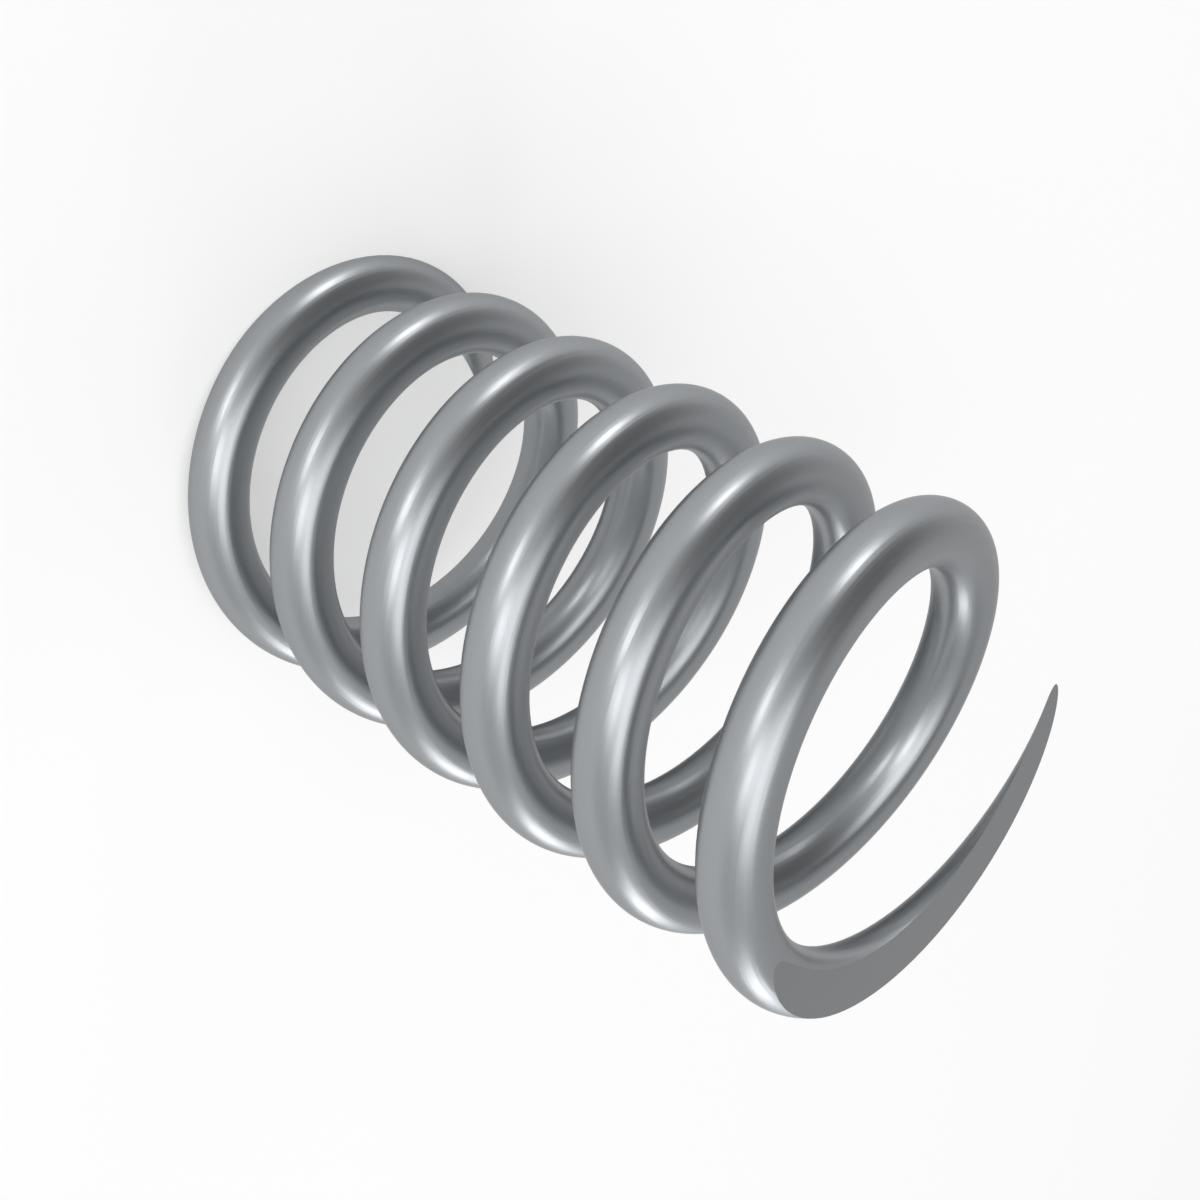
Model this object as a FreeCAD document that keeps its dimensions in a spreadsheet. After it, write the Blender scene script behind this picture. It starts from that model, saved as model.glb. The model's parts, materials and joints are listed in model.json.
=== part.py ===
import FreeCAD, Part

import os

import Sketcher

# A compression spring: one round steel wire wound into an open right-hand coil of constant
# pitch, with both ends ground flat and square to its axis. Millimetres. +Z is the spring's
# axis, and the origin is the centre of the lower end's plane. The wire's two tips taper to
# nothing in the end planes, on the +X side for a whole number of coils.

# Sizes that are chosen. Each is written once, here, and everything below is bound to it.
DRIVING_SIZES = {
    "wire_diameter": "2",
    "outside_diameter": "15",
    "free_length": "25.3",
    "total_coils": "6",
}

# Sizes that follow from them. The wire is unrolled from its mean cylinder into a straight
# strip, one wire wide, that crosses the end planes' rectangle from corner to corner: that
# sets its slope. The strip is a little taller than the wire because it is cut at a slant.
FOLLOWING_SIZES = {
    "mean_diameter": "=outside_diameter - wire_diameter",
    "wire_run": "=total_coils * pi * mean_diameter",
    "strip_diagonal": "=sqrt(wire_run ^ 2 + free_length ^ 2)",
    "lead_angle": "=atan(free_length / wire_run) + asin(wire_diameter / strip_diagonal)",
    "pitch": "=pi * mean_diameter * tan(lead_angle)",
    "strip_height": "=wire_diameter / cos(lead_angle)",
}

# The coil is wound one turn too long at each end, and grinding takes the spare turns off. The
# grinding wheel is wider than the coil, so that its rim stays clear of the wire.
SPARE_ENDS = 2
WHEEL_DIAMETER = "dimensions.outside_diameter + 2 * dimensions.wire_diameter"


def fill_sheet(doc):
    """Put the sizes in a sheet, one row each, with the size's name as the cell's alias."""
    sheet = doc.addObject("Spreadsheet::Sheet", "dimensions")
    row = 1
    for sizes in (DRIVING_SIZES, FOLLOWING_SIZES):
        for name, content in sizes.items():
            sheet.set(f"A{row}", name)
            sheet.set(f"B{row}", content)
            sheet.setAlias(f"B{row}", name)
            row += 1
        doc.recompute()
    return sheet


def origin_feature(body, role):
    """Return one of the body's own origin planes or axes by its role."""
    for feature in body.Origin.OriginFeatures:
        if feature.Role == role:
            return feature
    raise ValueError(f"no origin feature called {role}")


def circle_sketch(body, name, plane, diameter):
    """Sketch one circle about the sketch's own centre, its diameter bound to an expression."""
    sketch = body.newObject("Sketcher::SketchObject", name)
    sketch.AttachmentSupport = [(origin_feature(body, plane), "")]
    sketch.MapMode = "FlatFace"
    circle = sketch.addGeometry(Part.Circle(FreeCAD.Vector(), FreeCAD.Vector(0, 0, 1), 1))
    sketch.addConstraint(Sketcher.Constraint("Coincident", circle, 3, -1, 1))
    size = sketch.addConstraint(Sketcher.Constraint("Diameter", circle, 2))
    sketch.renameConstraint(size, "diameter")
    sketch.setExpression("Constraints.diameter", diameter)
    return sketch


def wind_coil(body):
    """Sweep the round wire along its helix, one spare turn past each end plane."""
    # The section stands square to the wire, so its sketch leans by the lead angle. A wire
    # centre half a strip below the end plane is where the finished wire's tip begins.
    section = circle_sketch(body, "wire_section", "XZ_Plane", "dimensions.wire_diameter")
    section.AttachmentOffset = FreeCAD.Placement(
        FreeCAD.Vector(), FreeCAD.Rotation(FreeCAD.Vector(1, 0, 0), 1)
    )
    section.setExpression("AttachmentOffset.Base.x", "dimensions.mean_diameter / 2")
    section.setExpression(
        "AttachmentOffset.Base.y", "-dimensions.strip_height / 2 - dimensions.pitch"
    )
    section.setExpression("AttachmentOffset.Rotation.Angle", "dimensions.lead_angle")

    coil = body.newObject("PartDesign::AdditiveHelix", "coil")
    coil.Profile = (section, [""])
    coil.ReferenceAxis = (origin_feature(body, "Z_Axis"), [""])
    coil.Mode = "pitch-height-angle"
    coil.setExpression("Pitch", "dimensions.pitch")
    coil.setExpression("Height", f"(dimensions.total_coils + {SPARE_ENDS}) * dimensions.pitch")
    coil.LeftHanded = False
    coil.Reversed = False
    coil.HasBeenEdited = True
    return coil


def grind_end(body, name, height, upwards):
    """Take off everything beyond an end plane, which leaves the flat crescent of that end."""
    wheel = circle_sketch(body, f"{name}_wheel", "XY_Plane", WHEEL_DIAMETER)
    wheel.setExpression("AttachmentOffset.Base.z", height)
    cut = body.newObject("PartDesign::Pocket", name)
    cut.Profile = (wheel, [""])
    cut.Type = "ThroughAll"
    cut.Reversed = upwards
    return cut


def check_document(doc):
    """Stop if any object of the document failed to build."""
    for item in doc.Objects:
        if "Invalid" in item.State or "Error" in item.State:
            raise RuntimeError(f"{item.Label} failed: {item.State}")


def check_steps(steps):
    """Stop if a grinding cut took nothing off the step before it."""
    for before, after in zip(steps, steps[1:]):
        if after.Shape.Volume >= before.Shape.Volume:
            raise RuntimeError(f"{after.Label} cuts nothing")


def main():
    doc = FreeCAD.newDocument("compression_spring")
    sheet = fill_sheet(doc)

    spring = doc.addObject("PartDesign::Body", "spring")
    spring.Label = "spring"
    spring.Placement = FreeCAD.Placement()
    coil = wind_coil(spring)
    bottom = grind_end(spring, "bottom_grinding", "0", False)
    top = grind_end(spring, "top_grinding", "dimensions.free_length", True)
    spring.Tip = top

    doc.recompute()
    check_document(doc)
    check_steps([coil, bottom, top])
    if spring.Shape.isNull() or not spring.Shape.isValid() or len(spring.Shape.Solids) != 1:
        raise RuntimeError("the spring isn't one valid solid")

    os.makedirs("parts", exist_ok=True)
    spring.Shape.exportStep(f"parts/{spring.Label}.step")
    print(f"pitch {sheet.pitch:.4f}, lead angle {sheet.lead_angle}, volume {spring.Shape.Volume:.2f}")


main()
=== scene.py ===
import json
import math

import bpy
from mathutils import Matrix, Vector


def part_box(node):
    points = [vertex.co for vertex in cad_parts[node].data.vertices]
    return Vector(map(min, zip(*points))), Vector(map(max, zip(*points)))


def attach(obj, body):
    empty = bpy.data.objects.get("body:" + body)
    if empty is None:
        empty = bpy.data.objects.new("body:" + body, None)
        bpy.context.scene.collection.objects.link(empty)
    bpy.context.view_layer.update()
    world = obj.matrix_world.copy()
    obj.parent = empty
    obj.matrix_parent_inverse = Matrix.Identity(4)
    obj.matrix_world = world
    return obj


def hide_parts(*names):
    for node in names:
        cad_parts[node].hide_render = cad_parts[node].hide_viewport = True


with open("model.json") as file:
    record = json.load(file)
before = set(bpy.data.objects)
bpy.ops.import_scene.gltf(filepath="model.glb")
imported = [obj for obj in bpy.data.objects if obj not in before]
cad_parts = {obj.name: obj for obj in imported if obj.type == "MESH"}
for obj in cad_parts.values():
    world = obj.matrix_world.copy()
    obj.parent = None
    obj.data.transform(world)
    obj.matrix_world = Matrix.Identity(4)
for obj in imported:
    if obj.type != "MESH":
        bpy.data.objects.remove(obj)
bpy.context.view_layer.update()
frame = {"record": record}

# A compression spring of round steel wire, standing on its lower ground end. Metres. The
# sizes come from the frame: the coil's outside diameter and length from the solid's box,
# and the wire's thickness from the guide rod's passage that the record states.
MM = 0.001
TOTAL_COILS = 6

spring_low, spring_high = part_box("spring")
passage = next(m for m in frame["record"]["mounts"] if m["name"] == "rod_passage")
LENGTH = spring_high.z - spring_low.z
OUTSIDE_RADIUS = (spring_high.x - spring_low.x) / 2
INSIDE_RADIUS = passage["dims"]["r_mm"] * MM
WIRE_RADIUS = (OUTSIDE_RADIUS - INSIDE_RADIUS) / 2
MEAN_RADIUS = (OUTSIDE_RADIUS + INSIDE_RADIUS) / 2

# The wire's slope: unrolled, it is a strip one wire wide from corner to corner of the
# rectangle between the two end planes.
WIRE_RUN = TOTAL_COILS * math.tau * MEAN_RADIUS
LEAD = math.atan(LENGTH / WIRE_RUN) + math.asin(2 * WIRE_RADIUS / math.hypot(WIRE_RUN, LENGTH))
PITCH = math.tau * MEAN_RADIUS * math.tan(LEAD)

# How finely the wire is meshed, and how close points have to be to be joined.
RING_POINTS = 64
RINGS_PER_TURN = 144
END_RINGS = 64
JOIN_DISTANCE = 1e-4 * MM


def wire_ring(turn, first, last, count):
    """Points of the wire's surface across one place, with their normals and straight-wire places.

    turn is the angle round the spring, and the points run from angle first to last round
    the wire, where 0 faces away from the axis and a quarter turn faces up.
    """
    outward = Vector((math.cos(turn), math.sin(turn), 0))
    along = Vector((-math.sin(turn), math.cos(turn), 0))
    upward = Vector((0, 0, math.cos(LEAD))) - along * math.sin(LEAD)
    height = PITCH * turn / math.tau - WIRE_RADIUS / math.cos(LEAD)
    centre = outward * MEAN_RADIUS + Vector((0, 0, height))
    length = turn * MEAN_RADIUS / math.cos(LEAD)
    points = []
    for step in range(count):
        angle = first + (last - first) * step / (count - 1)
        normal = outward * math.cos(angle) + upward * math.sin(angle)
        straight = Vector((math.cos(angle) * WIRE_RADIUS, math.sin(angle) * WIRE_RADIUS, length))
        points.append((centre + normal * WIRE_RADIUS, normal, straight / MM))
    return points


def end_places():
    """Where the wire meets the lower end plane: its turn angle and the angle it is cut at.

    The cut angle goes evenly from the top of the wire, at the feather tip, to its underside,
    at the heel, so both rounded ends of the crescent get the rings that they need.
    """
    places = []
    for step in range(END_RINGS + 1):
        cut = math.pi / 2 - math.pi * step / END_RINGS
        height = -WIRE_RADIUS * math.cos(LEAD) * math.sin(cut)
        turn = (height + WIRE_RADIUS / math.cos(LEAD)) * math.tau / PITCH
        places.append((turn, cut))
    return places


def spring_rings():
    """All the rings from the lower tip to the upper one, as (points, kind).

    A ring of kind bottom or top is open, and its first and last points lie in an end plane.
    A ring of kind full goes all the way round, with its first point at the underside.
    """
    places = end_places()
    whole_turns = TOTAL_COILS * math.tau
    rings = []
    for turn, cut in places[:-1]:
        rings.append((wire_ring(turn, cut, math.pi - cut, RING_POINTS + 1), "bottom"))
    heel = places[-1][0]
    middle = whole_turns - 2 * heel
    count = round(RINGS_PER_TURN * middle / math.tau)
    for step in range(count + 1):
        turn = heel + middle * step / count
        points = wire_ring(turn, -math.pi / 2, 1.5 * math.pi, RING_POINTS + 1)
        rings.append((points[:-1], "full"))
    for turn, cut in reversed(places[:-1]):
        first = math.pi + cut
        last = math.tau - cut
        rings.append((wire_ring(whole_turns - turn, first, last, RING_POINTS + 1), "top"))
    return rings


def seam_to_seam(start, kind, top):
    """The numbers of a ring's points, in order from the seam of that end and back to it.

    A full ring starts at the underside, which is the seam of the lower end. The seam of the
    upper end is on top, half way round.
    """
    steps = range(RING_POINTS + 1)
    if kind != "full":
        return [start + step for step in steps]
    half_round = RING_POINTS // 2 if top else 0
    return [start + (step + half_round) % RING_POINTS for step in steps]


def faces_between(here, there):
    """The faces from one ring to the next, where a ring is (number of its first point, kind)."""
    top = "top" in (here[1], there[1])
    near = seam_to_seam(*here, top)
    far = seam_to_seam(*there, top)
    faces = []
    for step in range(RING_POINTS):
        faces.append(((near[step], far[step], far[step + 1], near[step + 1]), 0))
    if here[1] != "full" or there[1] != "full":
        faces.append(((near[0], near[-1], far[-1], far[0]), 1 if top else -1))
    return faces


def build_spring():
    """The spring's mesh: the wire's round surface, and a flat crescent across each end.

    A point is its place, its normal and its straight-wire place. A face is its point numbers
    and its side: 0 on the round surface, -1 on the lower crescent and 1 on the upper one.
    """
    points = []
    starts = []
    for ring, kind in spring_rings():
        starts.append((len(points), kind))
        points.extend(ring)
    faces = []
    for here, there in zip(starts, starts[1:]):
        faces.extend(faces_between(here, there))
    return points, faces


def merge_tips(points, faces):
    """Join the points that fall together at the tips and heels, and drop the faces left flat."""
    first_at = {}
    target = []
    for index, (place, _, _) in enumerate(points):
        key = tuple(round(value / JOIN_DISTANCE) for value in place)
        target.append(first_at.setdefault(key, index))
    kept = []
    for face, side in faces:
        corners = []
        for index in face:
            if target[index] not in corners:
                corners.append(target[index])
        if len(corners) > 2:
            kept.append((corners, side))
    return kept


def spring_object():
    """The spring as an object, with exact normals, and its straightened wire as an attribute."""
    points, faces = build_spring()
    faces = merge_tips(points, faces)
    used = sorted({index for corners, _ in faces for index in corners})
    new_index = {old: new for new, old in enumerate(used)}
    mesh = bpy.data.meshes.new("spring_wire")
    mesh.from_pydata(
        [points[index][0] for index in used],
        [],
        [[new_index[index] for index in corners] for corners, _ in faces],
    )
    corner_normals = []
    for polygon, (_, side) in zip(mesh.polygons, faces):
        polygon.use_smooth = True
        polygon.material_index = 1 if side else 0
        for index in polygon.vertices:
            corner_normals.append((0, 0, side) if side else points[used[index]][1])
    straight = mesh.attributes.new("straight_wire", "FLOAT_VECTOR", "POINT")
    for item, index in zip(straight.data, used):
        item.vector = points[index][2]
    mesh.normals_split_custom_set(corner_normals)
    mesh.update()
    piece = bpy.data.objects.new("spring_wire", mesh)
    bpy.context.scene.collection.objects.link(piece)
    return piece


def new_material(name):
    """A new node material, with its node tree and its shader."""
    material = bpy.data.materials.new(name)
    material.use_nodes = True
    tree = material.node_tree
    shader = tree.nodes["Principled BSDF"]
    return material, tree, shader


def add_node(tree, kind, **settings):
    """Add a node and set its properties and input sockets by name."""
    node = tree.nodes.new(kind)
    for name, value in settings.items():
        if hasattr(node, name):
            setattr(node, name, value)
        else:
            node.inputs[name.replace("_", " ")].default_value = value
    return node


# How rough each finer layer of a noise is against the one before it.
NOISE_ROUGHNESS = 0.55


def stretched_noise(tree, source, stretch, detail):
    """Noise read from a vector socket after it is scaled by different amounts along each axis."""
    scaling = add_node(tree, "ShaderNodeMapping")
    scaling.inputs["Scale"].default_value = stretch
    noise = add_node(
        tree, "ShaderNodeTexNoise", Scale=1.0, Detail=detail, Roughness=NOISE_ROUGHNESS
    )
    tree.links.new(source, scaling.inputs["Vector"])
    tree.links.new(scaling.outputs["Vector"], noise.inputs["Vector"])
    return noise.outputs["Fac"]


def ranged(tree, source, low, high):
    """Map a value of 0 to 1 onto low to high."""
    mapped = add_node(tree, "ShaderNodeMapRange")
    mapped.inputs["To Min"].default_value = low
    mapped.inputs["To Max"].default_value = high
    tree.links.new(source, mapped.inputs["Value"])
    return mapped.outputs["Result"]


def add_relief(tree, shader, height, strength, depth):
    """Bump a surface by a height socket, whose full range is depth metres."""
    bump = add_node(tree, "ShaderNodeBump", Strength=strength, Distance=depth)
    tree.links.new(height, bump.inputs["Height"])
    tree.links.new(bump.outputs["Normal"], shader.inputs["Normal"])


# The drawn wire. Its edge tint is what is left of the steel's reflection at a glancing angle.
# The draw lines and the drift are read from the straightened wire, and each stretch says how
# many times they change a millimetre: twice across the wire, and then along it.
WIRE_COLOUR = (0.352, 0.366, 0.380)
WIRE_COLOUR_LOW = (0.324, 0.338, 0.352)
WIRE_EDGE_TINT = (0.68, 0.68, 0.68)
WIRE_ROUGHNESS = 0.36
LINE_STRETCH = (9.0, 9.0, 0.2)
LINE_DETAIL = 4.0
LINE_ROUGHNESS_SWING = 0.06
LINE_STRENGTH = 0.8
LINE_DEPTH = 0.008 * MM
DRIFT_STRETCH = (0.5, 0.5, 0.12)
DRIFT_DETAIL = 2.0
DRIFT_ROUGHNESS_SWING = 0.03

# The ground ends. Their colour is the steel's with painted shade in it: darker than the wire's,
# standing for the darker light the flat ends take. Each part of the stretch says how many times
# the wheel marks change a metre along X, Y and Z, so they run along X.
GROUND_COLOUR_WITH_PAINTED_SHADE = (0.237, 0.243, 0.251)
GROUND_ROUGHNESS_LOW = 0.34
GROUND_ROUGHNESS_HIGH = 0.46
MARK_STRETCH = (900.0, 26000.0, 900.0)
MARK_DETAIL = 3.0
MARK_STRENGTH = 0.15
MARK_DEPTH = 0.004 * MM


def wire_material():
    """Satin drawn steel: fine draw lines along the wire and a slow drift in tone and gloss."""
    material, tree, shader = new_material("drawn_spring_steel")
    shader.inputs["Metallic"].default_value = 1.0
    shader.inputs["Specular Tint"].default_value = (*WIRE_EDGE_TINT, 1)
    straight = add_node(tree, "ShaderNodeAttribute", attribute_name="straight_wire")
    lines = stretched_noise(tree, straight.outputs["Vector"], LINE_STRETCH, LINE_DETAIL)
    drift = stretched_noise(tree, straight.outputs["Vector"], DRIFT_STRETCH, DRIFT_DETAIL)

    tone = add_node(tree, "ShaderNodeMix", data_type="RGBA")
    tone.inputs["A"].default_value = (*WIRE_COLOUR_LOW, 1)
    tone.inputs["B"].default_value = (*WIRE_COLOUR, 1)
    tree.links.new(drift, tone.inputs["Factor"])
    tree.links.new(tone.outputs["Result"], shader.inputs["Base Color"])

    from_lines = ranged(tree, lines, -LINE_ROUGHNESS_SWING, LINE_ROUGHNESS_SWING)
    roughness_low = WIRE_ROUGHNESS - DRIFT_ROUGHNESS_SWING
    roughness_high = WIRE_ROUGHNESS + DRIFT_ROUGHNESS_SWING
    from_drift = ranged(tree, drift, roughness_low, roughness_high)
    gloss = add_node(tree, "ShaderNodeMath", operation="ADD")
    tree.links.new(from_lines, gloss.inputs[0])
    tree.links.new(from_drift, gloss.inputs[1])
    tree.links.new(gloss.outputs["Value"], shader.inputs["Roughness"])

    add_relief(tree, shader, lines, LINE_STRENGTH, LINE_DEPTH)
    return material


def ground_material():
    """Ground steel: straight fine wheel marks across a flat satin face, coloured with painted
    shade.
    """
    material, tree, shader = new_material("ground_spring_steel_painted_shade")
    shader.inputs["Metallic"].default_value = 1.0
    # Painted shade: the ground ends' colour is set darker than the wire's steel.
    shader.inputs["Base Color"].default_value = (*GROUND_COLOUR_WITH_PAINTED_SHADE, 1)
    place = add_node(tree, "ShaderNodeTexCoord")
    marks = stretched_noise(tree, place.outputs["Object"], MARK_STRETCH, MARK_DETAIL)
    gloss = ranged(tree, marks, GROUND_ROUGHNESS_LOW, GROUND_ROUGHNESS_HIGH)
    tree.links.new(gloss, shader.inputs["Roughness"])
    add_relief(tree, shader, marks, MARK_STRENGTH, MARK_DEPTH)
    return material


spring = spring_object()
spring.data.materials.append(wire_material())
spring.data.materials.append(ground_material())
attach(spring, "root")
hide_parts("spring")

# The floor is a plain pale disc that the spring stands on.
FLOOR_RADIUS = 0.7
FLOOR_SIDES = 128
FLOOR_COLOUR = (0.93, 0.93, 0.93)
FLOOR_ROUGHNESS = 0.7
FLOOR_GLOSS = 0.1
WHITE_SHARE = 0.45


def whiten_where_seen(tree, shader):
    """Mix some plain white into a surface where the camera or a reflection sees it.

    The surface keeps the rest of its own shading, and so its shadows, and it sheds no more
    light on anything.
    """
    path = add_node(tree, "ShaderNodeLightPath")
    seen = path.outputs["Is Camera Ray"]
    for name in ("Is Glossy Ray", "Is Transmission Ray"):
        either = add_node(tree, "ShaderNodeMath", operation="MAXIMUM")
        tree.links.new(seen, either.inputs[0])
        tree.links.new(path.outputs[name], either.inputs[1])
        seen = either.outputs["Value"]
    share = add_node(tree, "ShaderNodeMath", operation="MULTIPLY")
    share.inputs[1].default_value = WHITE_SHARE
    tree.links.new(seen, share.inputs[0])
    white = add_node(tree, "ShaderNodeEmission", Color=(1, 1, 1, 1), Strength=1.0)
    mix = add_node(tree, "ShaderNodeMixShader")
    tree.links.new(share.outputs["Value"], mix.inputs["Fac"])
    tree.links.new(shader.outputs["BSDF"], mix.inputs[1])
    tree.links.new(white.outputs["Emission"], mix.inputs[2])
    tree.links.new(mix.outputs["Shader"], tree.nodes["Material Output"].inputs["Surface"])


def floor_object():
    """A flat pale floor at the spring's foot."""
    rim = []
    for side in range(FLOOR_SIDES):
        turn = math.tau * side / FLOOR_SIDES
        rim.append((FLOOR_RADIUS * math.cos(turn), FLOOR_RADIUS * math.sin(turn), spring_low.z))
    mesh = bpy.data.meshes.new("floor")
    mesh.from_pydata(rim, [], [range(FLOOR_SIDES)])
    floor = bpy.data.objects.new("floor", mesh)
    bpy.context.scene.collection.objects.link(floor)
    material, tree, shader = new_material("pale_floor")
    shader.inputs["Base Color"].default_value = (*FLOOR_COLOUR, 1)
    shader.inputs["Roughness"].default_value = FLOOR_ROUGHNESS
    shader.inputs["Specular IOR Level"].default_value = FLOOR_GLOSS
    whiten_where_seen(tree, shader)
    # The white is there to be seen, so the floor isn't sampled as a lamp.
    material.cycles.emission_sampling = "NONE"
    mesh.materials.append(material)
    return floor


floor_object()

# The camera stands where the photograph's did, in equal parts to the left of, behind and
# above the spring's middle, and is rolled so that +Y is up in the picture. Lens and sensor
# are in millimetres, and it sees from SEEN_FROM to SEEN_TO times its own distance.
LENS = 50
SENSOR = 36
CAMERA_DISTANCE_IN_RADII = 8.173
CAMERA_DISTANCE = CAMERA_DISTANCE_IN_RADII * MEAN_RADIUS
SEEN_FROM = 0.1
SEEN_TO = 100
middle = Vector((0, 0, (spring_low.z + spring_high.z) / 2))


def camera_object():
    """The camera, aimed at the spring's middle."""
    back = Vector((-1, 1, 1)).normalized()
    right = Vector((0, 1, 0)).cross(back).normalized()
    up = back.cross(right)
    data = bpy.data.cameras.new("camera")
    data.lens = LENS
    data.sensor_width = SENSOR
    data.clip_start = SEEN_FROM * CAMERA_DISTANCE
    data.clip_end = SEEN_TO * CAMERA_DISTANCE
    camera = bpy.data.objects.new("camera", data)
    turn = Matrix((right, up, back)).transposed().to_4x4()
    camera.matrix_world = Matrix.Translation(middle + back * CAMERA_DISTANCE) @ turn
    bpy.context.scene.collection.objects.link(camera)
    return camera


bpy.context.scene.camera = camera_object()

# Soft boxes round the spring, each by its compass angle and height in degrees, its width and
# height in metres and its brightness, where 1 is as bright as white paper.
LAMPS = {
    "low_back_box": (66, 4.5, 0.26, 0.13, 15.4),
    "low_left_box": (137, 4.5, 0.34, 0.13, 11.0),
    "left_box": (160, 35, 0.40, 0.46, 3.7),
    "over_box": (170, 72, 0.80, 0.62, 2.15),
    "front_box": (265, 16, 0.28, 0.40, 5.2),
}
LAMP_DISTANCE = 1.0


def direction(compass, rise):
    """The direction with a compass angle and a height in degrees."""
    turn, tilt = math.radians(compass), math.radians(rise)
    level = Vector((math.cos(turn), math.sin(turn), 0)) * math.cos(tilt)
    return level + Vector((0, 0, math.sin(tilt)))


def place_lamp(name, compass, rise, width, height, brightness):
    """Put a soft box in the scene, facing the spring."""
    data = bpy.data.lights.new(name, "AREA")
    data.shape = "RECTANGLE"
    data.size = width
    data.size_y = height
    data.energy = math.pi * width * height * brightness
    lamp = bpy.data.objects.new(name, data)
    way = direction(compass, rise)
    lamp.location = middle + way * LAMP_DISTANCE
    lamp.rotation_mode = "QUATERNION"
    lamp.rotation_quaternion = way.to_track_quat("Z", "Y")
    lamp.visible_camera = False
    bpy.context.scene.collection.objects.link(lamp)


for lamp_name, settings in LAMPS.items():
    place_lamp(lamp_name, *settings)

# The room is a pale sweep that meets the floor. It darkens overhead, and more in one patch.
# The darkening starts and ends at a sine of the height, and the patch at a cosine of the
# angle from its middle.
HORIZON_COLOUR = (0.97, 0.97, 0.97, 1)
OVERHEAD_COLOUR = (0.72, 0.72, 0.72, 1)
OVERHEAD_START = 0.03
OVERHEAD_END = 0.30
PATCH_COLOUR = (0.20, 0.20, 0.20, 1)
PATCH_COMPASS = 50
PATCH_RISE = 42
PATCH_START = 0.55
PATCH_END = 0.97


def smooth_step(tree, source, start, end):
    """Go smoothly from 0 to 1 while a value goes from start to end."""
    step = add_node(tree, "ShaderNodeMapRange", interpolation_type="SMOOTHSTEP")
    step.inputs["From Min"].default_value = start
    step.inputs["From Max"].default_value = end
    tree.links.new(source, step.inputs["Value"])
    return step.outputs["Result"]


def blend(tree, factor, first, second):
    """Mix two colours or colour sockets by a factor socket."""
    mix = add_node(tree, "ShaderNodeMix", data_type="RGBA")
    tree.links.new(factor, mix.inputs["Factor"])
    for name, colour in (("A", first), ("B", second)):
        if isinstance(colour, tuple):
            mix.inputs[name].default_value = colour
        else:
            tree.links.new(colour, mix.inputs[name])
    return mix.outputs["Result"]


def studio_world():
    """The light of the room, by the direction it comes from."""
    room = bpy.data.worlds.new("studio")
    room.use_nodes = True
    tree = room.node_tree
    place = add_node(tree, "ShaderNodeTexCoord")
    parts = add_node(tree, "ShaderNodeSeparateXYZ")
    tree.links.new(place.outputs["Generated"], parts.inputs["Vector"])
    nearness = add_node(tree, "ShaderNodeVectorMath", operation="DOT_PRODUCT")
    nearness.inputs[1].default_value = direction(PATCH_COMPASS, PATCH_RISE)
    tree.links.new(place.outputs["Generated"], nearness.inputs[0])
    rise = smooth_step(tree, parts.outputs["Z"], OVERHEAD_START, OVERHEAD_END)
    patch = smooth_step(tree, nearness.outputs["Value"], PATCH_START, PATCH_END)
    above = blend(tree, patch, OVERHEAD_COLOUR, PATCH_COLOUR)
    colour = blend(tree, rise, HORIZON_COLOUR, above)
    tree.links.new(colour, tree.nodes["Background"].inputs["Color"])
    return room


bpy.context.scene.world = studio_world()
bpy.context.scene.view_settings.view_transform = "Standard"
